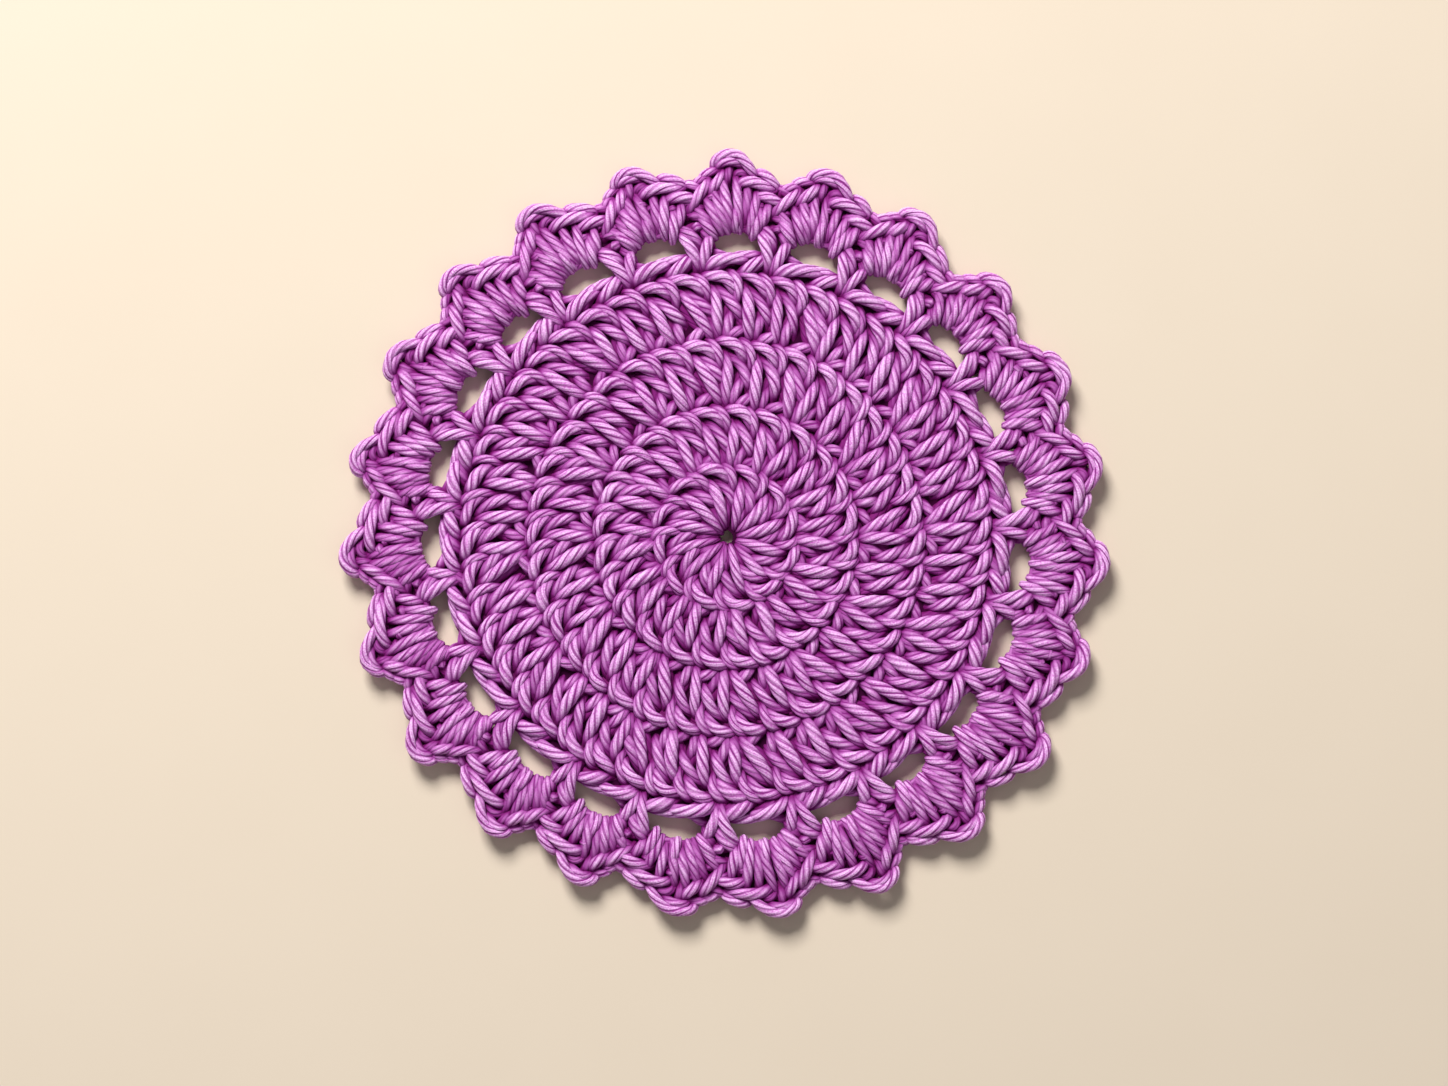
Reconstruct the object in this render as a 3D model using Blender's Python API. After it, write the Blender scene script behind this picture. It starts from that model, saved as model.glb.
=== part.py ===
"""Crochet coaster worked in the round from one length of cotton yarn.

The coaster is one piece, so it is one solid: four rounds of tall stitches, a round of chain arches
that leaves a row of gaps cut right through, and a border of pointed scallops. Sizes are in
millimetres until a point becomes a vertex. Angles run clockwise from the +Y axis, seen from above.
The origin is the centre of the rounds, on the face that the coaster lies on, with +Z up.
"""

import math
from collections import namedtuple

import bmesh
import bpy

MM = 0.001

# Driving sizes
YARN_WIDTH = 2.0
ROUND_HEIGHT = 10.35
EYE_RADIUS = 1.2
STEPS_PER_STITCH = 4
STEPS_PER_SCALLOP = 10

# Heights of the worked face above the resting face: the fabric is two yarns thick at its crests
CREST_HEIGHT = 2 * YARN_WIDTH
GROOVE_HEIGHT = 2.5
DIMPLE_HEIGHT = 1.4
DIMPLE_STEPS = 12

# Rounds of tall stitches, from the centre outwards; head_deg is where the first head stands
Round = namedtuple("Round", "stitches head_deg")
ROUNDS = (
    Round(12, 24.0),
    Round(24, 8.5),
    Round(36, 3.5),
    Round(48, -0.4),
)

# Across one round: how far out it is as a share of the round, its share of the crest height, how
# deep it dips between stitches, and how far the stitch leans there as a share of its width
Level = namedtuple("Level", "out crest_share dip lean")
ROUND_LEVELS = (
    Level(0.22, 0.80, 0.5, -0.20),
    Level(0.45, 0.88, 0.6, -0.05),
    Level(0.68, 0.95, 0.5, 0.15),
    Level(0.88, 1.00, 0.4, 0.30),
)

# One row for each scallop, clockwise: its point, and the post and the valley that follow it
Scallop = namedtuple("Scallop", "tip_deg tip_radius post_deg valley_radius")
SCALLOPS = (
    Scallop(1.3, 60.4, 9.1, 55.7),
    Scallop(16.6, 59.6, 25.0, 55.7),
    Scallop(31.9, 59.4, 40.6, 54.4),
    Scallop(47.8, 59.2, 55.6, 55.3),
    Scallop(64.4, 59.6, 71.9, 55.7),
    Scallop(79.1, 60.0, 87.5, 55.7),
    Scallop(94.4, 60.1, 103.4, 55.8),
    Scallop(109.4, 60.0, 119.0, 56.2),
    Scallop(125.0, 60.8, 134.4, 56.7),
    Scallop(140.3, 60.8, 149.7, 55.8),
    Scallop(155.9, 60.6, 165.3, 56.0),
    Scallop(171.9, 60.1, 181.2, 56.5),
    Scallop(188.4, 59.4, 198.1, 54.8),
    Scallop(203.8, 59.0, 213.6, 54.8),
    Scallop(218.8, 59.4, 230.0, 55.0),
    Scallop(235.3, 60.0, 245.6, 55.5),
    Scallop(250.9, 60.3, 261.6, 55.5),
    Scallop(266.9, 60.4, 276.9, 55.8),
    Scallop(282.2, 60.0, 291.9, 55.6),
    Scallop(298.8, 60.2, 307.5, 56.0),
    Scallop(313.8, 60.2, 322.8, 55.6),
    Scallop(329.1, 60.1, 339.1, 55.6),
    Scallop(345.0, 59.7, 354.4, 56.0),
)

# The chain arches and the gaps between them and the scallops
ARCH_GROOVE_RADIUS = len(ROUNDS) * ROUND_HEIGHT
ARCH_CREST_RADIUS = 43.6
GAP_INNER_RADIUS = 44.9
GAP_INNER_BOW = 0.3
GAP_OUTER_RADIUS = 46.9
GAP_OUTER_BOW = 1.1
GAP_FIRST_STEP = 2
GAP_LAST_STEP = 8
GAP_LIP_HEIGHT = 2.2
ARCH_HEIGHT = 3.2
POST_HEIGHT = 3.5

# The scallops: fans of wraps inside a rim of chain stitches
FAN_HEIGHT = 3.5
FAN_RIDGE = 0.35
FAN_INNER_SHARE = 0.35
FAN_OUTER_SHARE = 0.80
RIM_FOOT_INSET = 2.9
RIM_FOOT_HEIGHT = 2.9
RIM_CREST_INSET = 1.3
RIM_CREST_HEIGHT = 3.8
RIM_SIDE_HEIGHT = 1.9
RIM_BASE_INSET = 0.7
TIP_SHARPNESS = 1.3

YARN_COLOUR = (0.46, 0.11, 0.52, 1.0)
YARN_ROUGHNESS = 0.62
SMOOTH_UP_TO_DEG = 50.0


def polar(radius, degrees, height):
    """Gives the vertex place, in metres, of a point at that radius, clockwise angle and height."""
    turn = math.radians(degrees)
    return (radius * math.sin(turn) * MM, radius * math.cos(turn) * MM, height * MM)


def new_ring(mesh, points):
    """Adds a closed ring of vertices from (radius, degrees, height) rows."""
    return [(degrees, mesh.verts.new(polar(radius, degrees, height))) for radius, degrees, height in points]


def zip_rings(mesh, inner, outer):
    """Fills the band between two rings whose vertices are in clockwise order, with triangles.

    The rings may have different counts. Each step moves on along the ring whose next vertex comes first.
    """
    i = j = 0
    while i < len(inner) or j < len(outer):
        here_in = inner[i % len(inner)][1]
        here_out = outer[j % len(outer)][1]
        next_in = inner[(i + 1) % len(inner)][0] + 360.0 * ((i + 1) // len(inner))
        next_out = outer[(j + 1) % len(outer)][0] + 360.0 * ((j + 1) // len(outer))
        step_inner = j == len(outer) or (i < len(inner) and next_in < next_out)
        if step_inner:
            mesh.faces.new((here_in, here_out, inner[(i + 1) % len(inner)][1]))
            i += 1
        else:
            mesh.faces.new((here_in, here_out, outer[(j + 1) % len(outer)][1]))
            j += 1


def join_rings(mesh, lower, upper, skipped=lambda step: False):
    """Fills the band between two rings of equal count with quads, leaving out the skipped steps."""
    count = len(lower)
    for step in range(count):
        if skipped(step):
            continue
        after = (step + 1) % count
        mesh.faces.new((lower[step][1], upper[step][1], upper[after][1], lower[after][1]))


def round_rings(mesh, number, stitch_round):
    """Adds one round of tall stitches, as a ring of raised and dipped points on each of its levels."""
    base = number * ROUND_HEIGHT
    pitch = 360.0 / stitch_round.stitches
    rings = []
    for level in ROUND_LEVELS:
        points = []
        for step in range(stitch_round.stitches * STEPS_PER_STITCH):
            share = step / STEPS_PER_STITCH
            degrees = stitch_round.head_deg + share * pitch
            crest = 0.5 + 0.5 * math.cos(2 * math.pi * (share - level.lean))
            height = level.crest_share * CREST_HEIGHT - level.dip * (1.0 - crest)
            points.append((base + level.out * ROUND_HEIGHT, degrees, height))
        rings.append(new_ring(mesh, points))
    return rings


def groove_ring(mesh, number, stitch_round):
    """Adds the groove where the next round is worked into the heads of this one."""
    pitch = 360.0 / (stitch_round.stitches * STEPS_PER_STITCH)
    radius = (number + 1) * ROUND_HEIGHT
    count = stitch_round.stitches * STEPS_PER_STITCH
    points = [(radius, stitch_round.head_deg + step * pitch, GROOVE_HEIGHT) for step in range(count)]
    return new_ring(mesh, points)


def scallop_step(step):
    """Gives what stands at one step round the edging.

    Returns:
        tuple: the step within its scallop, counted from the post before it, the angle, and the
            radius of the outer edge there.
    """
    scallop = SCALLOPS[step // STEPS_PER_SCALLOP]
    before = SCALLOPS[step // STEPS_PER_SCALLOP - 1]
    start = before.post_deg - (360.0 if before.post_deg > scallop.tip_deg else 0.0)
    local = step % STEPS_PER_SCALLOP
    share = local / STEPS_PER_SCALLOP
    rising = share <= 0.5
    inward = 2 * share if rising else 2 * (1 - share)
    low_angle = start if rising else scallop.post_deg
    degrees = low_angle + (scallop.tip_deg - low_angle) * inward
    valley = before.valley_radius if rising else scallop.valley_radius
    rise = (0.5 - 0.5 * math.cos(math.pi * inward)) ** TIP_SHARPNESS
    edge = valley + (scallop.tip_radius - valley) * rise
    return local, degrees, edge


def over_gap(local):
    """Says whether the band that starts at this step of a scallop lies over its gap."""
    return GAP_FIRST_STEP <= local < GAP_LAST_STEP


def at_gap(local):
    """Says whether this step of a scallop is on the edge of its gap."""
    return GAP_FIRST_STEP <= local <= GAP_LAST_STEP


def bow_at(local):
    """Gives how far along the gap's bow a step is, from 0 at its ends to 1 in the middle."""
    if not at_gap(local):
        return 0.0
    return math.sin(math.pi * (local - GAP_FIRST_STEP) / (GAP_LAST_STEP - GAP_FIRST_STEP))


def edging_rows():
    """Works out the rings of the edging, from the groove outside the last round to the resting face.

    Returns:
        dict: for each ring's name, its list of (radius, degrees, height).
    """
    names = ("arch_groove", "arch_crest", "gap_inner", "gap_outer", "fan_inner", "fan_outer")
    names += ("rim_foot", "rim_crest", "rim_side", "rim_base", "base_gap_outer", "base_gap_inner")
    rows = {name: [] for name in names}
    for step in range(len(SCALLOPS) * STEPS_PER_SCALLOP):
        local, degrees, edge = scallop_step(step)
        bow = bow_at(local)
        ridge = FAN_RIDGE if local % 2 else -FAN_RIDGE
        lip = GAP_LIP_HEIGHT if at_gap(local) else POST_HEIGHT
        gap_inner = GAP_INNER_RADIUS + GAP_INNER_BOW * bow
        gap_outer = GAP_OUTER_RADIUS + GAP_OUTER_BOW * bow
        rim_foot = edge - RIM_FOOT_INSET
        fan_depth = rim_foot - gap_outer
        fan_inner = gap_outer + FAN_INNER_SHARE * fan_depth
        fan_outer = gap_outer + FAN_OUTER_SHARE * fan_depth
        rows["arch_groove"].append((ARCH_GROOVE_RADIUS, degrees, GROOVE_HEIGHT))
        rows["arch_crest"].append((ARCH_CREST_RADIUS, degrees, ARCH_HEIGHT))
        rows["gap_inner"].append((gap_inner, degrees, lip))
        rows["gap_outer"].append((gap_outer, degrees, lip))
        rows["fan_inner"].append((fan_inner, degrees, FAN_HEIGHT + ridge))
        rows["fan_outer"].append((fan_outer, degrees, FAN_HEIGHT + ridge))
        rows["rim_foot"].append((rim_foot, degrees, RIM_FOOT_HEIGHT))
        rows["rim_crest"].append((edge - RIM_CREST_INSET, degrees, RIM_CREST_HEIGHT))
        rows["rim_side"].append((edge, degrees, RIM_SIDE_HEIGHT))
        rows["rim_base"].append((edge - RIM_BASE_INSET, degrees, 0.0))
        rows["base_gap_outer"].append((gap_outer, degrees, 0.0))
        rows["base_gap_inner"].append((gap_inner, degrees, 0.0))
    return rows


def fill_gap_ends(mesh, rings):
    """Closes the two short walls at the ends of each gap."""
    for scallop in range(len(SCALLOPS)):
        for local in (GAP_FIRST_STEP, GAP_LAST_STEP):
            step = scallop * STEPS_PER_SCALLOP + local
            corners = [rings[name][step][1] for name in
                       ("gap_inner", "gap_outer", "base_gap_outer", "base_gap_inner")]
            mesh.faces.new(corners)


def build_mesh():
    """Builds the coaster's one closed surface."""
    mesh = bmesh.new()
    turns = [360.0 * step / DIMPLE_STEPS for step in range(DIMPLE_STEPS)]
    eye = new_ring(mesh, [(EYE_RADIUS, degrees, GROOVE_HEIGHT) for degrees in turns])
    dimple = mesh.verts.new(polar(0.0, 0.0, DIMPLE_HEIGHT))
    for step in range(len(eye)):
        mesh.faces.new((dimple, eye[step][1], eye[(step + 1) % len(eye)][1]))

    last = eye
    for number, stitch_round in enumerate(ROUNDS):
        rings = round_rings(mesh, number, stitch_round)
        zip_rings(mesh, last, rings[0])
        for lower, upper in zip(rings, rings[1:]):
            join_rings(mesh, lower, upper)
        last = rings[-1]
        if number + 1 < len(ROUNDS):
            groove = groove_ring(mesh, number, stitch_round)
            join_rings(mesh, last, groove)
            last = groove

    rings = {name: new_ring(mesh, points) for name, points in edging_rows().items()}
    zip_rings(mesh, last, rings["arch_groove"])
    bands = ("arch_groove", "arch_crest", "gap_inner")
    for lower, upper in zip(bands, bands[1:]):
        join_rings(mesh, rings[lower], rings[upper])

    def hollow(step):
        return over_gap(step % STEPS_PER_SCALLOP)

    def solid(step):
        return not hollow(step)

    join_rings(mesh, rings["gap_inner"], rings["gap_outer"], hollow)
    join_rings(mesh, rings["base_gap_inner"], rings["base_gap_outer"], hollow)
    join_rings(mesh, rings["gap_inner"], rings["base_gap_inner"], solid)
    join_rings(mesh, rings["gap_outer"], rings["base_gap_outer"], solid)
    fill_gap_ends(mesh, rings)
    bands = ("gap_outer", "fan_inner", "fan_outer", "rim_foot", "rim_crest", "rim_side", "rim_base",
             "base_gap_outer")
    for lower, upper in zip(bands, bands[1:]):
        join_rings(mesh, rings[lower], rings[upper])

    middle = mesh.verts.new(polar(0.0, 0.0, 0.0))
    base = rings["base_gap_inner"]
    for step in range(len(base)):
        mesh.faces.new((middle, base[step][1], base[(step + 1) % len(base)][1]))
    bmesh.ops.recalc_face_normals(mesh, faces=mesh.faces)
    bmesh.ops.triangulate(mesh, faces=mesh.faces)
    return mesh


def yarn_material():
    """Makes the purple cotton."""
    material = bpy.data.materials.new("purple_cotton")
    material.use_nodes = True
    shader = material.node_tree.nodes["Principled BSDF"]
    shader.inputs["Base Color"].default_value = YARN_COLOUR
    shader.inputs["Roughness"].default_value = YARN_ROUGHNESS
    shader.inputs["Metallic"].default_value = 0.0
    return material


def build_coaster():
    """Makes the coaster's object."""
    mesh = build_mesh()
    data = bpy.data.meshes.new("coaster")
    mesh.to_mesh(data)
    mesh.free()
    data.shade_smooth()
    data.set_sharp_from_angle(angle=math.radians(SMOOTH_UP_TO_DEG))
    data.materials.append(yarn_material())
    coaster = bpy.data.objects.new("coaster", data)
    bpy.context.scene.collection.objects.link(coaster)


for leftover in list(bpy.data.objects):
    bpy.data.objects.remove(leftover)
build_coaster()
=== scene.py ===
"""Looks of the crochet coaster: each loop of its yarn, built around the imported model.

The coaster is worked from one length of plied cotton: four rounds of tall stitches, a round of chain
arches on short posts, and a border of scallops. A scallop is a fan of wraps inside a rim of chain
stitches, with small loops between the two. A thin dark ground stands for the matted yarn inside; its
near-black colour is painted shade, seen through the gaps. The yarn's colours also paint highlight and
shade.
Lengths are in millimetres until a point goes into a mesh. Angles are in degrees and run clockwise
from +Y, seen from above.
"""

import logging
import math
from dataclasses import dataclass, field
from typing import NamedTuple

import bmesh
import bpy
import numpy as np
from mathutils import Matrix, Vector

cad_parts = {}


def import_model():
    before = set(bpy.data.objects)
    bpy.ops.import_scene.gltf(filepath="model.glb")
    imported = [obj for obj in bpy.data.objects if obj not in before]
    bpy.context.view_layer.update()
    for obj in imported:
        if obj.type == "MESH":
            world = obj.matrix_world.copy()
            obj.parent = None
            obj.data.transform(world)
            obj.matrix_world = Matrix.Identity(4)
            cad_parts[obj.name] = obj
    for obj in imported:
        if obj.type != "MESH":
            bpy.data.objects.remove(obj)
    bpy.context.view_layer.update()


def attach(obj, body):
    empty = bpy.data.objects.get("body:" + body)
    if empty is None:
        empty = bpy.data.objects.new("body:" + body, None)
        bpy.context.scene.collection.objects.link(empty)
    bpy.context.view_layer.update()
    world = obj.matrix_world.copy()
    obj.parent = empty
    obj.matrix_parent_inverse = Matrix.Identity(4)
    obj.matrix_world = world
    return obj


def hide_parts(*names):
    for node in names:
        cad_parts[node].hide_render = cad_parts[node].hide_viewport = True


MM = 0.001
LOG = logging.getLogger("coaster")

# Driving sizes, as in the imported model
YARN_WIDTH = 1.92
ROUND_HEIGHT = 10.35
GROUND_MIDDLE = 1.6
GROUND_THICKNESS = 0.7

# The yarn's plies, and the fine strands that show along them
PLIES = 5
STRANDS = 11
SIDES_PER_PLY = 3
PLY_GROOVE = 0.15
GROOVE_POWER = 1.5
PLY_TURN_LENGTH = 10.8

# How finely a line of yarn is read, and how far its corners are softened
READS_PER_SPAN = 8
FINE_STEP = 0.14
SOFTENING = 0.42
BEND_WINDOW = 5
STEP_PER_BEND = 0.36
SHORTEST_STEP = 0.40
LONGEST_STEP = 0.80

# One chance move is spread over this many points of a line
CHANCE_WINDOW = 9

# How many of a line's first points come again at its end, to close the round
CLOSING = 2

# Where stitches stand closer than the free pitch, yarn is pressed thinner, and less so on the front
FREE_PITCH = 4.4
FRONT_HEIGHT = 2.3
FRONT_HOLD = 0.25
BACK_HOLD = 0.5

# The eye lies beside the middle, and no strand's middle comes nearer to it than this
EYE_OFFSET = 0.45
EYE_CLEARANCE = 1.4

Array = np.ndarray
Place = tuple[float, float, float]
Colour = tuple[float, float, float, float]
Stops = tuple[tuple[float, float], ...]


class Knot(NamedTuple):
    """One point that the middle of the yarn passes through in a tall stitch.

    Across is in stitch widths, clockwise from the stitch's own place. Out is a share of the round's
    height, from the foot. Height is in millimetres above the floor. Width is a share of the yarn's
    own. Pull is how far the point follows the foot, which the neighbours push aside.
    """

    across: float
    out: float
    height: float
    width: float
    pull: float = 0.0


class Turn(NamedTuple):
    """One point that the yarn passes through in the edging.

    Across is in degrees clockwise from the scallop's point, on a scallop of the usual width. Radius
    and height are in millimetres, and width is a share of the yarn's own.
    """

    across: float
    radius: float
    height: float
    width: float


def listed(kind: type, *rows: tuple[float, ...]) -> tuple:
    """Gives one member of that kind for each row of its numbers."""
    return tuple(kind(*row) for row in rows)


# The way of the yarn through one tall stitch, worked from right to left seen from outside
TALL_STITCH = listed(
    Knot,
    # Front loop of the head
    (0.35, 0.52, 0.95, 0.86), (0.335, 0.6, 1.45, 0.86), (0.31, 0.665, 2.1, 0.89), (0.23, 0.74, 2.6, 0.97),
    (0.09, 0.835, 2.9, 1.04), (-0.06, 0.89, 3.0, 1.06), (-0.21, 0.915, 3.0, 1.04),
    (-0.36, 0.93, 2.9, 0.98), (-0.49, 0.945, 2.5, 0.9),
    # Round its end, and the back loop, which shows between the feet of the next round
    (-0.6, 0.945, 1.9, 0.86), (-0.6, 0.95, 1.4, 0.86), (-0.5, 0.96, 1.35, 0.88), (-0.4, 0.99, 1.75, 0.94),
    (-0.28, 1.03, 2.15, 0.99), (-0.15, 1.075, 2.4, 1.0), (-0.02, 1.12, 2.4, 0.98),
    (0.1, 1.15, 2.05, 0.93), (0.2, 1.15, 1.45, 0.88), (0.25, 1.1, 0.95, 0.88), (0.18, 0.98, 0.88, 0.92),
    (0.02, 0.88, 0.88, 0.92), (-0.18, 0.82, 0.95, 0.9),
    # The wrap that crosses the stitch
    (-0.28, 0.79, 1.25, 0.84), (-0.23, 0.755, 1.75, 0.82), (-0.13, 0.715, 2.15, 0.86),
    (-0.01, 0.66, 2.35, 0.9), (0.11, 0.59, 2.55, 0.97), (0.23, 0.515, 2.7, 1.01, 0.05),
    (0.35, 0.435, 2.7, 1.01, 0.1), (0.45, 0.36, 2.5, 0.96, 0.15), (0.52, 0.29, 2.05, 0.88, 0.2),
    (0.56, 0.215, 1.5, 0.84, 0.25), (0.58, 0.13, 1.0, 0.86, 0.4), (0.52, 0.04, 0.9, 0.9, 0.6),
    (0.38, -0.04, 0.9, 0.9, 0.85),
    # Right leg, from the foot up behind the wrap
    (0.22, -0.09, 1.2, 0.82, 1.0), (0.17, -0.04, 1.8, 0.85, 1.0), (0.18, 0.05, 2.25, 0.92, 0.95),
    (0.215, 0.16, 2.45, 0.98, 0.8), (0.25, 0.26, 2.35, 0.98, 0.55), (0.29, 0.345, 1.95, 0.92, 0.3),
    (0.36, 0.43, 1.6, 0.82, 0.1),
    # Right loop of the head
    (0.43, 0.51, 1.8, 0.77), (0.465, 0.59, 2.35, 0.79), (0.475, 0.68, 2.75, 0.82),
    (0.43, 0.79, 2.95, 0.85), (0.33, 0.89, 2.95, 0.85), (0.19, 0.955, 2.6, 0.8), (0.06, 0.99, 1.95, 0.76),
    (-0.05, 0.975, 1.3, 0.8), (-0.18, 0.92, 0.92, 0.86), (-0.33, 0.86, 0.92, 0.86),
    # Long left leg, down to the foot
    (-0.42, 0.81, 1.25, 0.74), (-0.38, 0.765, 1.85, 0.72), (-0.325, 0.705, 2.35, 0.8),
    (-0.27, 0.62, 2.72, 0.94), (-0.215, 0.5, 2.92, 1.07, 0.15), (-0.175, 0.36, 3.0, 1.13, 0.4),
    (-0.13, 0.2, 2.88, 1.08, 0.7), (-0.08, 0.06, 2.45, 0.95, 0.95), (-0.05, -0.04, 1.8, 0.84, 1.0),
    (-0.1, -0.12, 1.15, 0.84, 1.0), (-0.26, -0.08, 0.9, 0.88, 0.9), (-0.41, 0.1, 0.88, 0.92, 0.6),
    (-0.52, 0.3, 0.88, 0.92, 0.25), (-0.6, 0.44, 0.9, 0.9),
)

# The strand that goes down and up again across the back of each tall stitch
BACK_STITCH = listed(
    Knot,
    (0.38, 0.84, 1.5, 0.85), (0.3, 0.7, 0.95, 0.9), (0.24, 0.5, 0.86, 0.94, 0.1),
    (0.2, 0.3, 0.86, 0.94, 0.4), (0.12, 0.16, 0.95, 0.9, 0.7), (0.0, 0.16, 0.95, 0.9, 0.7),
    (-0.08, 0.3, 0.86, 0.94, 0.4), (-0.16, 0.5, 0.86, 0.94, 0.1), (-0.26, 0.7, 0.95, 0.9),
    (-0.38, 0.84, 1.5, 0.85),
)

# The slanted strand inside each tall stitch, which shows where two feet stand far apart
INNER_STITCH = listed(
    Knot,
    (0.4, 0.6, 1.65, 0.9, 0.2), (0.18, 0.4, 1.75, 0.95, 0.4), (-0.02, 0.22, 1.75, 0.95, 0.7),
    (-0.22, 0.12, 1.75, 0.9, 0.8), (-0.38, 0.25, 1.8, 0.92, 0.6), (-0.5, 0.45, 1.75, 0.92, 0.3),
)


class Hand(NamedTuple):
    """How unevenly a length of yarn lies, as hand work does.

    Sideways and upwards are its usual moves in millimetres, and wider is the usual change of its
    width, as a share.
    """

    sideways: float
    upwards: float
    wider: float


class Layer(NamedTuple):
    """One of the lengths of yarn that a round of tall stitches is drawn with.

    The seed step is added to the round's seed. Closing is how many of the knots come again at the end,
    to close the round.
    """

    knots: tuple[Knot, ...]
    seed_step: int
    closing: int
    hand: Hand


LAYERS = (
    Layer(TALL_STITCH, 0, CLOSING, Hand(0.17, 0.09, 0.05)),
    Layer(BACK_STITCH, 50, 0, Hand(0.17, 0.05, 0.05)),
    Layer(INNER_STITCH, 60, 0, Hand(0.17, 0.05, 0.05)),
)


class Scallop(NamedTuple):
    """One scallop's point, and the post and the valley that follow it, clockwise."""

    tip_deg: float
    tip_radius: float
    post_deg: float
    valley_radius: float


SCALLOPS = listed(
    Scallop,
    (1.3, 60.4, 9.1, 55.7), (16.6, 59.6, 25.0, 55.7), (31.9, 59.4, 40.6, 54.4), (47.8, 59.2, 55.6, 55.3),
    (64.4, 59.6, 71.9, 55.7), (79.1, 60.0, 87.5, 55.7), (94.4, 60.1, 103.4, 55.8),
    (109.4, 60.0, 119.0, 56.2), (125.0, 60.8, 134.4, 56.7), (140.3, 60.8, 149.7, 55.8),
    (155.9, 60.6, 165.3, 56.0), (171.9, 60.1, 181.2, 56.5), (188.4, 59.4, 198.1, 54.8),
    (203.8, 59.0, 213.6, 54.8), (218.8, 59.4, 230.0, 55.0), (235.3, 60.0, 245.6, 55.5),
    (250.9, 60.3, 261.6, 55.5), (266.9, 60.4, 276.9, 55.8), (282.2, 60.0, 291.9, 55.6),
    (298.8, 60.2, 307.5, 56.0), (313.8, 60.2, 322.8, 55.6), (329.1, 60.1, 339.1, 55.6),
    (345.0, 59.7, 354.4, 56.0),
)

# The scallop that the edging's points were drawn for
USUAL = Scallop(0.0, 60.4, 7.8, 55.7)
USUAL_LEFT_POST = -7.3
USUAL_SPAN = USUAL.post_deg - USUAL_LEFT_POST

# The chain arch under one scallop, and the post at its right
ARCH = listed(
    Turn,
    # First chain of the arch, and its back leg
    (-6.6, 41.3, 1.0, 0.88), (-5.9, 41.8, 1.8, 0.98), (-5.0, 42.3, 2.6, 1.08), (-3.5, 42.8, 3.0, 1.14),
    (-1.6, 43.1, 3.1, 1.14), (0.3, 43.3, 3.0, 1.1), (1.8, 43.3, 2.5, 1.02), (2.8, 43.1, 1.8, 0.94),
    (2.7, 43.0, 1.0, 0.86), (1.2, 43.3, 1.0, 0.86), (-0.4, 43.5, 1.25, 0.86), (-1.8, 43.8, 1.7, 0.88),
    (-3.2, 44.3, 1.9, 0.88), (-4.6, 44.8, 1.6, 0.86), (-5.3, 44.5, 1.0, 0.86), (-4.4, 43.5, 0.95, 0.86),
    (-2.5, 42.4, 0.95, 0.86), (-0.4, 41.5, 0.95, 0.86),
    # Second chain, and its back leg
    (1.2, 41.2, 1.3, 0.9), (2.3, 41.7, 2.1, 0.98), (3.4, 42.2, 2.85, 1.08), (4.6, 42.8, 3.1, 1.1),
    (5.7, 43.3, 2.9, 1.04), (6.6, 43.7, 2.2, 0.94), (6.6, 44.0, 1.6, 0.86), (5.4, 43.9, 1.85, 0.86),
    (3.9, 44.0, 2.15, 0.88), (2.4, 43.9, 2.15, 0.88), (0.9, 43.8, 1.95, 0.86), (-0.4, 43.5, 1.35, 0.85),
    (-0.5, 42.8, 0.95, 0.85), (1.6, 42.3, 0.92, 0.86), (4.6, 41.8, 0.92, 0.86),
    # Left leg of the post, from its foot outwards
    (6.9, 41.2, 1.2, 0.9), (7.4, 42.1, 2.1, 0.96), (7.35, 43.4, 2.85, 1.0), (6.95, 44.9, 3.15, 1.02),
    (6.35, 46.2, 3.1, 1.0), (5.8, 47.3, 2.65, 0.96), (5.4, 48.2, 1.95, 0.9), (4.9, 48.7, 1.35, 0.84),
    # Loop over the top of the left leg
    (4.9, 49.1, 1.7, 0.8), (5.5, 48.7, 2.3, 0.84), (6.4, 48.0, 2.8, 0.88), (7.3, 47.1, 2.8, 0.9),
    (8.0, 46.0, 2.5, 0.88), (8.3, 44.9, 2.0, 0.84), (8.3, 43.6, 1.4, 0.82), (8.1, 42.3, 0.95, 0.84),
    # Right leg
    (8.3, 41.3, 1.3, 0.84), (8.55, 42.1, 2.1, 0.9), (8.95, 43.3, 2.8, 0.94), (9.5, 44.7, 3.05, 0.96),
    (9.95, 45.9, 2.9, 0.93), (10.4, 46.9, 2.3, 0.86), (10.6, 47.8, 1.6, 0.8), (9.9, 48.6, 1.3, 0.78),
    # Short strand over the top of the right leg
    (9.0, 48.3, 1.9, 0.78), (9.3, 47.6, 2.5, 0.8), (9.9, 47.0, 2.7, 0.8), (10.5, 46.3, 2.2, 0.78),
    (10.7, 45.0, 1.3, 0.8), (10.2, 43.2, 0.9, 0.84),
)

# The hidden chain that the wraps of a scallop go round
ARCH_CORE = listed(
    Turn,
    (-7.3, 48.6, 1.9, 0.95), (-5.4, 48.1, 1.9, 0.95), (-2.8, 48.2, 1.9, 0.95), (0.0, 48.6, 1.9, 0.95),
    (2.8, 48.4, 1.9, 0.95), (5.4, 48.1, 1.9, 0.95),
)


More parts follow.
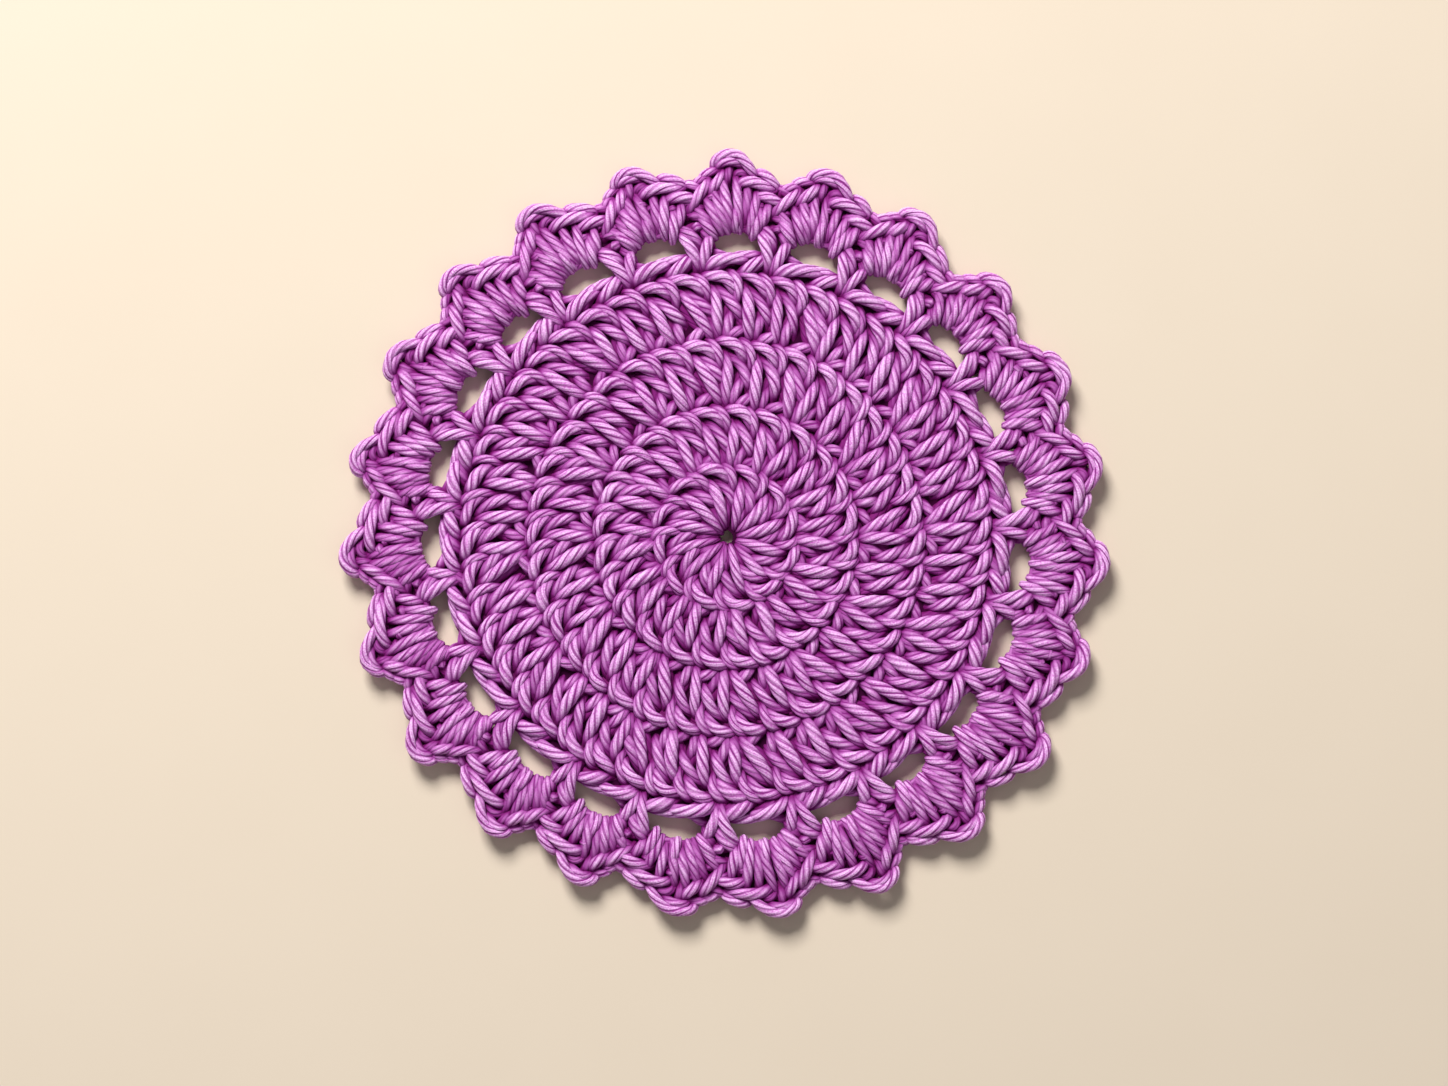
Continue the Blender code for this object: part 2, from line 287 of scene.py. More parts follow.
class Wrap(NamedTuple):
    """One strand of a scallop's fan, from its outer end to its foot in the gap.

    The two angles are in degrees from the scallop's point and the two radii in millimetres. Height
    is that of the strand's middle, and width is a share of the yarn's own.
    """

    top_deg: float
    top_radius: float
    foot_deg: float
    foot_radius: float
    height: float
    width: float

    def turns(self) -> list[Turn]:
        """Gives the strand's points: down the front, under the hidden chain and up the back.

        Returns:
            The points, as turns of the edging.
        """
        # Each point's share of the way to the foot, its height, and its share of the strand's width
        path = ((-0.34, 1.3, 0.8), (-0.18, self.height - 1.0, 0.86), (0.08, self.height - 0.2, 0.96),
                (0.42, self.height + 0.12, 1.09), (0.68, self.height + 0.12, 1.07),
                (0.9, self.height - 0.3, 0.9), (1.04, 1.9, 0.8), (0.95, 0.95, 0.82), (0.5, 0.8, 0.9),
                (0.08, 0.85, 0.84))
        lean = self.foot_deg - self.top_deg
        drop = self.foot_radius - self.top_radius
        return [Turn(self.top_deg + lean * share, self.top_radius + drop * share, height, width * self.width)
                for share, height, width in path]


WRAPS = listed(
    Wrap,
    (-8.3, 50.6, -4.9, 49.6, 2.5, 0.8), (-7.0, 51.4, -4.1, 48.2, 2.8, 0.84),
    (-6.1, 50.0, -3.5, 47.0, 3.0, 0.9), (-5.0, 52.6, -2.3, 47.6, 2.8, 0.86),
    (-3.6, 54.0, -1.3, 48.0, 2.95, 0.9), (-1.8, 55.2, -0.4, 48.6, 2.9, 0.9),
    (0.2, 55.1, 1.2, 48.2, 2.9, 0.88), (0.75, 52.2, 0.5, 48.0, 3.1, 0.8),
    (2.3, 54.6, 2.0, 48.5, 2.8, 0.86), (3.9, 53.6, 2.9, 47.9, 2.95, 0.88),
    (4.7, 51.3, 3.9, 47.1, 3.0, 0.86), (6.2, 52.3, 5.1, 48.4, 2.8, 0.88),
)

# The rim of chain stitches round one scallop, with the loop at its point
RIM = listed(
    Turn,
    # Lower chain of the left slope, then its outer loop
    (-8.6, 50.2, 1.2, 0.86), (-7.9, 51.1, 2.3, 0.92), (-6.7, 52.5, 3.0, 0.98), (-5.6, 53.8, 3.1, 0.98),
    (-4.7, 54.9, 2.6, 0.92), (-4.3, 55.5, 1.9, 0.86), (-4.9, 55.9, 1.8, 0.86), (-6.0, 55.5, 2.2, 0.86),
    (-7.0, 54.8, 2.0, 0.86), (-7.1, 53.8, 1.2, 0.85), (-5.9, 52.8, 0.95, 0.88),
    # Upper chain of the left slope
    (-4.9, 52.8, 1.5, 0.86), (-4.2, 53.7, 2.4, 0.92), (-3.4, 54.9, 3.0, 0.97), (-2.6, 56.0, 3.0, 0.94),
    (-2.0, 56.8, 2.4, 0.88), (-1.8, 57.4, 1.8, 0.84), (-2.7, 57.4, 1.9, 0.84), (-4.1, 57.0, 2.2, 0.84),
    (-5.3, 56.3, 1.8, 0.84), (-5.0, 55.5, 1.0, 0.84), (-3.6, 56.2, 0.95, 0.84),
    # Outer loop at the point
    (-3.3, 57.3, 1.6, 0.82), (-3.4, 58.1, 2.3, 0.82), (-2.8, 58.9, 2.7, 0.83), (-1.6, 59.4, 2.9, 0.84),
    (-0.3, 59.7, 3.0, 0.86), (0.9, 59.3, 3.1, 0.88), (2.0, 58.3, 3.1, 0.9), (2.8, 57.2, 2.9, 0.88),
    (3.4, 56.2, 2.2, 0.86), (3.2, 55.2, 1.3, 0.84), (1.4, 54.8, 0.95, 0.86), (-0.6, 54.6, 1.1, 0.8),
    # Short post inside the loop
    (-1.2, 55.2, 1.9, 0.72), (-1.1, 56.2, 2.5, 0.76), (-0.95, 57.3, 2.5, 0.74), (-0.9, 58.2, 1.7, 0.74),
    (-1.9, 57.8, 1.2, 0.76),
    # Inner loop at the point
    (-2.7, 57.6, 1.8, 0.76), (-2.2, 58.2, 2.5, 0.8), (-1.0, 58.6, 2.9, 0.8), (0.3, 58.5, 2.8, 0.8),
    (1.3, 57.9, 2.1, 0.78), (1.6, 57.0, 1.2, 0.78), (0.9, 55.6, 1.0, 0.78),
    # Small loop inside it
    (0.15, 55.7, 1.6, 0.74), (0.3, 56.6, 2.3, 0.76), (1.1, 57.15, 2.6, 0.76), (1.9, 56.7, 2.3, 0.76),
    (2.2, 56.0, 1.6, 0.78), (1.2, 55.3, 1.2, 0.82),
    # Upper chain of the right slope, then its outer loop
    (0.7, 55.2, 2.1, 0.88), (1.8, 55.7, 3.0, 0.96), (3.3, 55.6, 3.2, 0.99), (4.8, 55.1, 3.0, 0.97),
    (6.1, 54.5, 2.3, 0.9), (7.0, 54.6, 1.8, 0.86), (6.7, 55.3, 2.2, 0.86), (5.5, 56.3, 2.5, 0.87),
    (4.2, 57.0, 2.2, 0.86), (3.3, 56.5, 1.2, 0.84), (3.2, 54.6, 0.95, 0.86),
    # Lower chain of the right slope, then its outer loop
    (3.3, 53.4, 1.5, 0.86), (4.1, 53.5, 2.4, 0.92), (5.6, 53.5, 3.0, 0.98), (7.1, 53.1, 3.0, 0.96),
    (8.5, 52.6, 2.3, 0.88), (9.7, 52.9, 1.7, 0.86), (9.7, 53.6, 2.0, 0.86), (8.6, 54.4, 2.3, 0.86),
    (7.4, 55.1, 2.0, 0.86), (6.8, 54.2, 1.0, 0.85), (6.8, 52.0, 0.95, 0.88),
)

# The tops of the small loops that stand up between a fan and its rim
LOOP_TOPS = listed(
    Turn,
    (-8.0, 52.2, 3.0, 0.62), (-5.8, 51.3, 3.1, 0.6), (-3.7, 52.9, 3.2, 0.66), (-2.3, 53.8, 3.0, 0.62),
    (0.6, 53.9, 3.3, 0.62), (1.8, 53.1, 3.1, 0.6), (4.5, 51.8, 3.1, 0.62), (8.1, 48.6, 3.2, 0.8),
)


def over(top: Turn) -> list[Turn]:
    """Draws one small loop: up one side, over its top and down the other.

    Args:
        top: The loop's top.

    Returns:
        The loop's points.
    """
    shoulder = top.height - 0.7
    path = ((-0.6, -0.6, 1.2), (-0.4, -0.1, shoulder), (0.0, 0.15, top.height),
            (0.4, -0.1, shoulder), (0.6, -0.6, 1.2))
    return [Turn(top.across + aside, top.radius + out, height, top.width) for aside, out, height in path]


def polar(radius: float, degrees: float, height: float) -> Place:
    """Gives the place, in millimetres, of a point at that radius, clockwise angle and height."""
    turn = math.radians(degrees)
    return (radius * math.sin(turn), radius * math.cos(turn), height)


def eased(value: float) -> float:
    """Gives a smooth step from 0 to 1, held at both ends."""
    share = min(1.0, max(0.0, value))
    return share * share * (3.0 - 2.0 * share)


def bell(spread: float, step: float) -> Array:
    """Gives a bell-shaped window that adds up to 1.

    Args:
        spread: The bell's spread.
        step: The distance between its values, in the same unit.

    Returns:
        The window, with its highest value in the middle.
    """
    half = round(3 * spread / step)
    window = np.exp(-0.5 * (np.arange(-half, half + 1) * step / spread) ** 2)
    return window / window.sum()


def placed(name: str, data: bpy.types.ID) -> bpy.types.Object:
    """Makes an object of this data, adds it to the scene and gives it."""
    made = bpy.data.objects.new(name, data)
    bpy.context.scene.collection.objects.link(made)
    return made


@dataclass
class Signal:
    """A socket of a node graph, on which sums can be written as Python expressions."""

    graph: "Graph"
    socket: bpy.types.NodeSocket

    def __add__(self, other: "Signal | float") -> "Signal":
        """Gives self + other."""
        return self.graph.math("ADD", self, other)

    def __sub__(self, other: "Signal | float") -> "Signal":
        """Gives self - other."""
        return self.graph.math("SUBTRACT", self, other)

    def __mul__(self, other: "Signal | float") -> "Signal":
        """Gives self times other."""
        return self.graph.math("MULTIPLY", self, other)


@dataclass
class Graph:
    """A node tree under construction."""

    tree: bpy.types.NodeTree

    def node(self, kind: str, sockets: dict | None = None, **settings: str) -> bpy.types.Node:
        """Adds a node.

        Args:
            kind: The node's type.
            sockets: What goes into its sockets, by name or number: a value, a Signal, or a node,
                of which the first output is taken.
            **settings: Its own settings, which are set first.

        Returns:
            The node.
        """
        made = self.tree.nodes.new(kind)
        for name, value in settings.items():
            setattr(made, name, value)
        for name, value in (sockets or {}).items():
            if isinstance(value, bpy.types.Node):
                value = self.out(value)
            if isinstance(value, Signal):
                self.tree.links.new(value.socket, made.inputs[name])
            else:
                made.inputs[name].default_value = value
        return made

    def out(self, node: bpy.types.Node, name: str | int = 0) -> Signal:
        """Gives one of a node's outputs as a Signal."""
        return Signal(self, node.outputs[name])

    def math(self, operation: str, *values: "Signal | float") -> Signal:
        """Adds a Math node on these values and gives its result."""
        return self.out(self.node("ShaderNodeMath", dict(enumerate(values)), operation=operation))

    def ramp(self, value: Signal, stops: Stops) -> Signal:
        """Sends a value through a line of straight stretches.

        Args:
            value: The value, from 0 to 1.
            stops: The ends of the stretches, each as the value there and what it turns into.

        Returns:
            What the value turns into.
        """
        made = self.node("ShaderNodeFloatCurve", {"Value": value})
        curve = made.mapping.curves[0]
        while len(curve.points) > 2:
            curve.points.remove(curve.points[1])
        for point, stop in zip(curve.points, (stops[0], stops[-1])):
            point.location = stop
        for stop in stops[1:-1]:
            curve.points.new(*stop)
        for point in curve.points:
            point.handle_type = "VECTOR"
        made.mapping.update()
        return self.out(made)

    def mix(self, share: "Signal | float", low: object, high: object) -> Signal:
        """Gives a colour between two colours."""
        made = self.node("ShaderNodeMix", {0: share, 6: low, 7: high}, data_type="RGBA")
        return self.out(made, 2)

    def surface(self, sockets: dict) -> None:
        """Ends a material's tree with a shader that has these values."""
        shader = self.node("ShaderNodeBsdfPrincipled", sockets)
        self.node("ShaderNodeOutputMaterial", {"Surface": shader})


def blank_material(name: str) -> tuple[bpy.types.Material, Graph]:
    """Makes a material without any nodes.

    Args:
        name: The material's name.

    Returns:
        The material, and its node tree.
    """
    made = bpy.data.materials.new(name)
    made.use_nodes = True
    made.node_tree.nodes.clear()
    return made, Graph(made.node_tree)


class Grain(NamedTuple):
    """How fine a noise on the yarn is: round the yarn, along it, and in its detail."""

    around: float
    along: float
    detail: float


@dataclass(frozen=True)
class Cotton:
    """The plied cotton yarn's finish: colours in linear light, with painted highlight and shade; grain;
    sheen.
    """

    name: str = "purple_cotton"
    # Painted highlight: a near-white pink for the sheen of lit fibres, laid on the palest open yarn
    painted_highlight: Colour = (0.96, 0.60, 1.00, 1.0)
    body: Colour = (0.60, 0.155, 0.59, 1.0)
    # Painted shade in the grooves between plies and fine strands, and on the way down among the strands
    groove: Colour = (0.23, 0.018, 0.21, 1.0)
    # Painted shade, near-black purple, deep among the strands
    nook: Colour = (0.17, 0.008, 0.125, 1.0)
    roughness: float = 0.55
    gloss: float = 0.08
    sheen: float = 0.02
    sheen_roughness: float = 0.4
    sheen_tint: Colour = (1.0, 0.6, 1.0, 1.0)

    # Noises: how the plies wander, fibres along them, each ply's own tone, and how open a groove is,
    # which sets how much painted groove shade it gets
    wander: Grain = Grain(0.9, 190.0, 1.0)
    fibres: Grain = Grain(8.0, 500.0, 3.0)
    own_tone: Grain = Grain(1.3, 130.0, 1.0)
    opening: Grain = Grain(2.2, 260.0, 1.0)
    noise_roughness: float = 0.6
    fuzz_grain: float = 4200.0
    fuzz_detail: float = 2.0
    ply_wander: float = 3.0
    strand_wander: float = 6.0

    # What makes the yarn pale at a point, by weight, before the offset is taken away: the yarn's own
    # uneven tone, which also places the painted highlight
    ply_weight: float = 0.12
    fibre_weight: float = 0.55
    own_weight: float = 0.80
    fuzz_weight: float = 1.65
    tone_offset: float = 1.06

    # Lines from the groove, at 0, to the middle of a ply or strand, at 1, for the painted groove shade and
    # the bump
    groove_shade_line: Stops = ((0.0, 1.0), (0.10, 0.95), (0.28, 0.50), (0.52, 0.08), (1.0, 0.0))
    split_line: Stops = ((0.0, 1.0), (0.12, 0.62), (0.36, 0.0), (1.0, 0.0))
    height_line: Stops = ((0.0, 0.0), (0.10, 0.42), (0.3, 0.76), (0.6, 0.94), (1.0, 1.0))
    # Lines that turn a noise or a tone into a share: the first two of painted groove shade, the last of
    # painted highlight
    opening_line: Stops = ((0.0, 0.35), (0.35, 0.50), (0.6, 1.0), (1.0, 1.0))
    split_shade_line: Stops = ((0.0, 0.12), (0.4, 0.2), (0.62, 0.55), (1.0, 0.6))
    highlight_tone_line: Stops = ((0.0, 0.0), (0.10, 0.0), (0.80, 1.0), (1.0, 1.0))
    # Lines from open yarn, at 0, to the deepest point among the strands, at 1: they keep the painted
    # highlight to open yarn, and lay painted groove shade and painted deep shade further in
    open_highlight_line: Stops = ((0.0, 1.0), (0.15, 0.85), (0.38, 0.32), (0.60, 0.05), (1.0, 0.0))
    nook_groove_shade_line: Stops = ((0.0, 0.0), (0.16, 0.04), (0.42, 0.60), (0.66, 1.0), (1.0, 1.0))
    nook_shade_line: Stops = ((0.0, 0.0), (0.48, 0.0), (0.86, 1.0), (1.0, 1.0))

    ply_depth: float = 0.07 * MM
    fibre_depth: float = 0.035 * MM
    fuzz_depth: float = 0.03 * MM
    split_share: float = 0.6

    def material(self) -> bpy.types.Material:
        """Makes the yarn's material, which reads what the sweep and the nooks stored on the yarn. With them
        it paints a highlight on open yarn, and shade in the grooves and deep among the strands.

        Returns:
            The material.
        """
        made, graph = blank_material(self.name)
        parts = graph.node("ShaderNodeSeparateXYZ", {0: self.stored(graph, "around", "Vector")})
        east, north = graph.out(parts, 0), graph.out(parts, 1)
        along = self.stored(graph, "along", "Fac")
        # How deep each point lies among its neighbours, which sets the painted shade
        nook = self.stored(graph, "nook", "Fac")
        wander, fibres, own_tone, opening = (
            self.noise(graph, east, north, along, grain)
            for grain in (self.wander, self.fibres, self.own_tone, self.opening))
        wander = wander - 0.5
        place = graph.out(graph.node("ShaderNodeTexCoord"), "Object")
        fuzz = graph.out(graph.node("ShaderNodeTexNoise", {"Vector": place, "Scale": self.fuzz_grain,
                                                           "Detail": self.fuzz_detail}))

        angle = graph.math("ARCTAN2", north, east)
        ply = graph.math("COSINE", angle * PLIES + wander * self.ply_wander) * 0.5 + 0.5
        strand = graph.math("COSINE", angle * STRANDS + wander * self.strand_wander) * 0.5 + 0.5
        split = graph.ramp(strand, self.split_line)
        # Painted shade in the grooves between plies, between fine strands, and deeper among the strands
        ply_groove_shade = graph.ramp(ply, self.groove_shade_line) * graph.ramp(opening, self.opening_line)
        strand_split_shade = split * graph.ramp(fibres, self.split_shade_line)
        groove_shade_share = graph.math("MAXIMUM", ply_groove_shade, strand_split_shade)
        groove_shade_share = graph.math("MAXIMUM", groove_shade_share, graph.ramp(nook, self.nook_groove_shade_line))
        tone = (ply * self.ply_weight + fibres * self.fibre_weight + own_tone * self.own_weight
                + fuzz * self.fuzz_weight - self.tone_offset)
        # Painted highlight, placed by the yarn's random tone and kept to open yarn
        pale = graph.ramp(tone, self.highlight_tone_line) * graph.ramp(nook, self.open_highlight_line)

        # The yarn's own colour, turned towards the painted highlight and the painted groove shade
        open_yarn = graph.mix(groove_shade_share, graph.mix(pale, self.body, self.painted_highlight), self.groove)
        height = (graph.ramp(ply, self.height_line) * self.ply_depth
                  + (fibres - split * self.split_share) * self.fibre_depth + fuzz * self.fuzz_depth)
        rise = graph.node("ShaderNodeBump", {"Height": height, "Distance": 1.0, "Strength": 1.0})
        # The base colour is darkened towards the painted deep shade where points lie deepest
        graph.surface({
            "Base Color": graph.mix(graph.ramp(nook, self.nook_shade_line), open_yarn, self.nook),
            "Roughness": self.roughness, "Specular IOR Level": self.gloss,
            "Sheen Weight": self.sheen, "Sheen Roughness": self.sheen_roughness,
            "Sheen Tint": self.sheen_tint, "Normal": rise})
        return made

    def stored(self, graph: Graph, name: str, output: str) -> Signal:
        """Gives what is stored on the yarn under that name."""
        return graph.out(graph.node("ShaderNodeAttribute", attribute_name=name), output)

    def noise(self, graph: Graph, east: Signal, north: Signal, along: Signal, grain: Grain) -> Signal:
        """Adds a noise that runs with the plies.

        Args:
            graph: The material's graph.
            east: The first part of the direction round the yarn.
            north: The second part of it.
            along: The length along the yarn.
            grain: How fine the noise is.

        Returns:
            The noise, from 0 to 1.
        """
        spot = graph.node("ShaderNodeCombineXYZ",
                          {0: east * grain.around, 1: north * grain.around, 2: along * grain.along})
        noise = graph.node("ShaderNodeTexNoise", {"Vector": spot, "Scale": 1.0, "Detail": grain.detail,
                                                  "Roughness": self.noise_roughness})
        return graph.out(noise)


@dataclass(frozen=True)
class Matt:
    """A plain matt finish with a slight unevenness."""

    name: str
    colour: Colour
    dark: Colour
    roughness: float
    grain: float
    detail: float = 3.0
    gloss: float = 0.05

    def material(self) -> bpy.types.Material:
        """Makes the material.

        Returns:
            The material.
        """
        made, graph = blank_material(self.name)
        place = graph.out(graph.node("ShaderNodeTexCoord"), "Object")
        noise = graph.node("ShaderNodeTexNoise",
                           {"Vector": place, "Scale": self.grain, "Detail": self.detail})
        graph.surface({"Base Color": graph.mix(graph.out(noise), self.dark, self.colour),
                       "Roughness": self.roughness, "Specular IOR Level": self.gloss})
        return made


@dataclass
class Centreline:
    """The middle of a length of yarn: its points in millimetres, and its width at each."""

    points: list[Place] = field(default_factory=list)
    widths: list[float] = field(default_factory=list)

    def add(self, point: Place, width: float) -> None:
        """Adds one point and the yarn's width there."""
        self.points.append(point)
        self.widths.append(width)

    def loosened(self, rng: np.random.Generator, hand: Hand) -> "Centreline":
        """Makes the line a little uneven, as hand work is.

        Args:
            rng: The seeded source of chance.
            hand: How unevenly the yarn lies.

        Returns:
            The uneven line. No strand sinks into the floor.
        """
        window = np.hanning(CHANCE_WINDOW)
        window /= math.sqrt(float((window ** 2).sum()))
        noise = rng.normal(size=(len(self.points) + CHANCE_WINDOW - 1, 4))
        smooth = np.stack([np.convolve(noise[:, k], window, "valid") for k in range(4)], 1)
        places = np.array(self.points)
        places[:, :2] += smooth[:, :2] * hand.sideways
        places[:, 2] += smooth[:, 2] * hand.upwards
        widths = np.array(self.widths) * (1.0 + hand.wider * smooth[:, 3])
        places[:, 2] = np.maximum(places[:, 2], 0.5 * widths)
        return Centreline([tuple(p) for p in places], list(widths))

    def smooth(self) -> tuple[Array, Array]:
        """Runs a soft curve through the points and reads it, closer together where it bends more.

        Returns:
            The points read, and the width at each.
        """
        window = bell(SOFTENING, FINE_STEP)
        half = len(window) // 2
        padded = np.pad(self.even(), ((half, half), (0, 0)), mode="edge")
        soft = np.stack([np.convolve(padded[:, k], window, "valid") for k in range(4)], 1)
        way = np.diff(soft[:, :3], axis=0)
        length = np.linalg.norm(way, axis=1).clip(1e-6)
        cosine = np.einsum("ij,ij->i", way[1:], way[:-1]) / (length[1:] * length[:-1])
        bend = np.arccos(cosine.clip(-1.0, 1.0)) / length[1:]
        bend = np.pad(np.concatenate([[bend[0]], bend, [bend[-1]]]), BEND_WINDOW // 2, mode="edge")
        bend = np.convolve(bend, np.ones(BEND_WINDOW) / BEND_WINDOW, "valid")
        step = np.clip(STEP_PER_BEND / bend.clip(1e-3), SHORTEST_STEP, LONGEST_STEP)
        count = np.concatenate([[0.0], np.cumsum(length * 0.5 * (1 / step[1:] + 1 / step[:-1]))])
        at = np.linspace(0.0, count[-1], max(2, round(count[-1])) + 1)
        read = np.column_stack([np.interp(at, count, soft[:, k]) for k in range(4)])
        return read[:, :3], read[:, 3]

    def even(self) -> Array:
        """Runs a centripetal curve through the points and reads it at even short steps.

        Returns:
            A row for each point read: its place and the yarn's width.
        """
        raw = np.column_stack([np.array(self.points), np.array(self.widths)])
        raw = np.vstack([2 * raw[0] - raw[1], raw, 2 * raw[-1] - raw[-2]])
        step = np.sqrt(np.linalg.norm(np.diff(raw[:, :3], axis=0), axis=1)).clip(1e-3)
        fine = []
        shares = np.linspace(0.0, 1.0, READS_PER_SPAN, endpoint=False)[:, None]
        for i in range(1, len(raw) - 2):
            before, start, end, after = raw[i - 1:i + 3]
            t0, t1, t2 = step[i - 1], step[i], step[i + 1]
            out = ((start - before) / t0 - (end - before) / (t0 + t1) + (end - start) / t1) * t1
            into = ((end - start) / t1 - (after - start) / (t1 + t2) + (after - end) / t2) * t1
            s2, s3 = shares ** 2, shares ** 3
            fine.append((2 * s3 - 3 * s2 + 1) * start + (s3 - 2 * s2 + shares) * out
                        + (3 * s2 - 2 * s3) * end + (s3 - s2) * into)
        line = np.vstack([*fine, raw[-2:-1]])
        run = np.concatenate([[0.0], np.cumsum(np.linalg.norm(np.diff(line[:, :3], axis=0), axis=1))])
        at = np.linspace(0.0, run[-1], max(2, round(run[-1] / FINE_STEP)) + 1)
        return np.column_stack([np.interp(at, run, line[:, k]) for k in range(4)])


class YarnSweep:
    """Spins yarn along a centreline with a geometry node tree: lobed plies that turn as they go."""

    def __init__(self, material: bpy.types.Material) -> None:
        """Builds the tree.

        Args:
            material: The yarn's finish.
        """
        self.material = material
        self.inputs: dict[str, str] = {}
        self.tree = bpy.data.node_groups.new("yarn_sweep", "GeometryNodeTree")
        self.length = 0.0
        self.declare()
        self.build()

    def declare(self) -> None:
        """Adds the tree's named inputs and its output, and remembers each input's identifier."""
        add = self.tree.interface.new_socket
        for flow in ("INPUT", "OUTPUT"):
            add(name="Geometry", in_out=flow, socket_type="NodeSocketGeometry")
        kinds = {"Centreline": "Object", "Plies": "Int", "Sides per ply": "Int", "Ply groove": "Float",
                 "Turns per metre": "Float", "Finish": "Material"}
        for name, kind in kinds.items():
            self.inputs[name] = add(name=name, in_out="INPUT", socket_type="NodeSocket" + kind).identifier

    def build(self) -> None:
        """Adds the tree's nodes."""
        graph = Graph(self.tree)
        entry = graph.node("NodeGroupInput")
        line = graph.node("GeometryNodeObjectInfo", {"Object": graph.out(entry, "Centreline")})
        length = graph.out(graph.node("GeometryNodeSplineParameter"), "Length")
        turned = graph.node("GeometryNodeSetCurveTilt",
                            {"Curve": graph.out(line, "Geometry"),
                             "Tilt": length * graph.out(entry, "Turns per metre") * (-2.0 * math.pi)})
        kept = graph.node("GeometryNodeStoreNamedAttribute",
                          {"Geometry": turned, "Name": "along", "Value": length},
                          data_type="FLOAT", domain="POINT")
        plies = graph.out(entry, "Plies")
        ring = graph.node("GeometryNodeCurvePrimitiveCircle",
                          {"Resolution": plies * graph.out(entry, "Sides per ply"), "Radius": 1.0},
                          mode="RADIUS")
        spot = graph.node("GeometryNodeInputPosition")
        marked = graph.node("GeometryNodeStoreNamedAttribute",
                            {"Geometry": ring, "Name": "around", "Value": spot},
                            data_type="FLOAT_VECTOR", domain="POINT")
        parts = graph.node("ShaderNodeSeparateXYZ", {0: spot})
        angle = graph.math("ARCTAN2", graph.out(parts, 1), graph.out(parts, 0))
        dip = graph.math("POWER", graph.math("COSINE", angle * plies) * -0.5 + 0.5, GROOVE_POWER)
        scale = graph.math("SUBTRACT", 1.0, dip * graph.out(entry, "Ply groove"))
        lobed = graph.node("ShaderNodeVectorMath", {0: spot, "Scale": scale}, operation="SCALE")
        shaped = graph.node("GeometryNodeSetPosition", {"Geometry": marked, "Position": lobed})
        radius = graph.node("GeometryNodeInputRadius")
        tube = graph.node("GeometryNodeCurveToMesh",
                          {"Curve": kept, "Profile Curve": shaped, "Scale": radius, "Fill Caps": True})
        soft = graph.node("GeometryNodeSetShadeSmooth", {"Geometry": tube})
        whole = graph.node("GeometryNodeRealizeInstances", {"Geometry": soft})
        dressed = graph.node("GeometryNodeSetMaterial",
                             {"Geometry": whole, "Material": graph.out(entry, "Finish")})
        graph.node("NodeGroupOutput", {0: dressed})

    def spin(self, name: str, lines: list[Centreline]) -> bpy.types.Object:
        """Makes one piece of yarn.

        Args:
            name: The piece's name.
            lines: The middle lines of its lengths of yarn.

        Returns:
            The piece, a plain mesh with its place in the mesh.
        """
        curve = bpy.data.curves.new(name + "_line", "CURVE")
        curve.dimensions = "3D"
        curve.twist_mode = "MINIMUM"
        for line in lines:
            points, widths = line.smooth()
            spline = curve.splines.new("POLY")
            spline.points.add(len(points) - 1)
            spline.points.foreach_set("co", np.column_stack([points * MM, np.ones(len(points))]).ravel())
            spline.points.foreach_set("radius", 0.5 * widths * MM)
            self.length += float(np.linalg.norm(np.diff(points, axis=0), axis=1).sum()) * MM
        guide = placed(name + "_line", curve)
        holder = placed(name + "_holder", bpy.data.meshes.new(name + "_holder"))
        sweep = holder.modifiers.new("sweep", "NODES")
        sweep.node_group = self.tree
        values = {"Centreline": guide, "Plies": PLIES, "Sides per ply": SIDES_PER_PLY,
                  "Ply groove": PLY_GROOVE, "Turns per metre": 1.0 / (PLY_TURN_LENGTH * MM),
                  "Finish": self.material}
        for key, value in values.items():
            sweep[self.inputs[key]] = value
        graph = bpy.context.evaluated_depsgraph_get()
        graph.update()
        mesh = bpy.data.meshes.new_from_object(holder.evaluated_get(graph))
        mesh.name = name
        piece = placed(name, mesh)
        bpy.data.objects.remove(holder)
        bpy.data.objects.remove(guide)
        return piece


